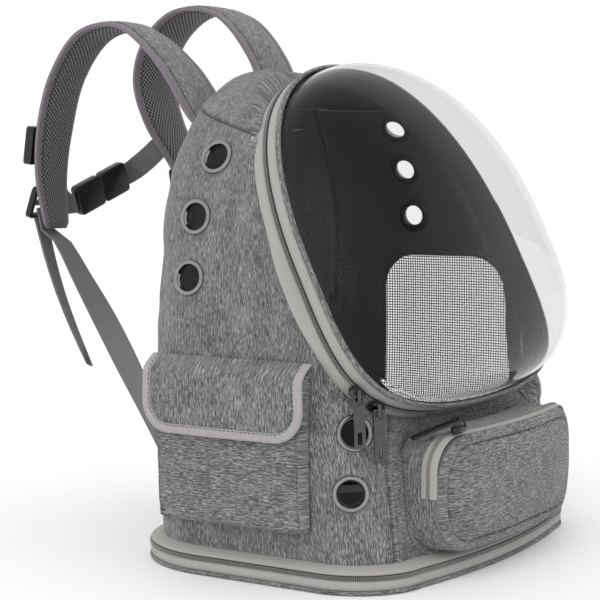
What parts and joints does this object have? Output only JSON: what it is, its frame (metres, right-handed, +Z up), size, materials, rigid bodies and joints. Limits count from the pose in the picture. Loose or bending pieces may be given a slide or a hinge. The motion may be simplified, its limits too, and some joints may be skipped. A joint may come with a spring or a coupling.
{
  "type": "pet carrier backpack",
  "caption": "Soft-walled backpack for carrying a small pet, with a sloped oval door under a clear bubble window, air holes, a net window, pockets and padded shoulder straps.",
  "frame": {"origin": "Middle of the base, on the floor that the pack stands on.", "axes": "+Z is up; -Y is the front, where the door and the pouch are; +Y is the back, where the straps are; -X is the side with the flapped pocket, on the left when one looks at the front."},
  "size_m": [0.3683, 0.464, 0.4551],
  "materials": {
    "melange_cloth": "woven melange with lighter and darker streaks",
    "light_tape": "fine woven zipper tape",
    "zip_teeth": "fine moulded coil teeth",
    "lilac_binding": "folded edge binding with stitching",
    "webbing": "ribbed woven webbing",
    "net": "fine open net",
    "black_plastic": "satin moulded",
    "gunmetal": "polished dark metal",
    "clear_window": "clear, glossy"
  },
  "bodies": {
    "root": {"base_tray": "melange_cloth", "base_tape_lower": "light_tape", "base_teeth": "zip_teeth", "base_tape_upper": "light_tape", "crown": "melange_cloth", "front_panel": "melange_cloth", "back_panel": "melange_cloth", "side_panel_left": "melange_cloth", "side_panel_right": "melange_cloth", "window_net": "net", "grommet_left_1": "gunmetal", "grommet_left_2": "gunmetal", "grommet_left_3": "gunmetal", "grommet_left_4": "gunmetal", "grommet_left_5": "gunmetal", "grommet_right_1": "gunmetal", "grommet_right_2": "gunmetal", "grommet_right_3": "gunmetal", "grommet_right_4": "gunmetal", "grommet_right_5": "gunmetal", "door_tape_outer": "light_tape", "door_teeth": "zip_teeth", "door_tape_inner": "light_tape", "door_hinge": "melange_cloth", "door_binding": "melange_cloth", "door_dome": "clear_window", "door_slider_1": "gunmetal", "door_slider_2": "gunmetal", "pouch_shell": "melange_cloth", "pouch_tape": "light_tape", "pouch_teeth": "zip_teeth", "pouch_slider": "black_plastic", "pocket_body": "melange_cloth", "pocket_flap": "melange_cloth", "flap_binding": "lilac_binding", "strap_left": "melange_cloth", "strap_right": "melange_cloth", "strap_lock_left": "black_plastic", "strap_lock_right": "black_plastic", "strap_webbing_left": "webbing", "strap_webbing_right": "webbing", "webbing_tail_left": "webbing", "webbing_tail_right": "webbing", "sternum_anchor_left": "black_plastic", "sternum_anchor_right": "black_plastic", "sternum_webbing_left": "webbing", "sternum_webbing_right": "webbing", "buckle_socket": "black_plastic", "buckle_plug": "black_plastic"},
    "door_tab_1": {"door_pull_1": "gunmetal"},
    "door_tab_2": {"door_pull_2": "gunmetal"},
    "pouch_tab": {"pouch_pull": "black_plastic"}
  },
  "joints": [
    {"name": "door_pull_1_swing", "type": "hinge", "parent": "root", "child": "door_tab_1", "pos_m": [-0.16207, -0.09444, 0.1449], "axis": [-0.7071, 0.7071, 0], "range_deg": [0, 100]},
    {"name": "door_pull_2_swing", "type": "hinge", "parent": "root", "child": "door_tab_2", "pos_m": [-0.1429, -0.10033, 0.13282], "axis": [-0.7071, 0.7071, 0], "range_deg": [0, 100]},
    {"name": "pouch_pull_swing", "type": "hinge", "parent": "root", "child": "pouch_tab", "pos_m": [-0.09434, -0.14027, 0.12315], "axis": [0.731, 0.6794, 0.064], "range_deg": [0, 60]}
  ]
}
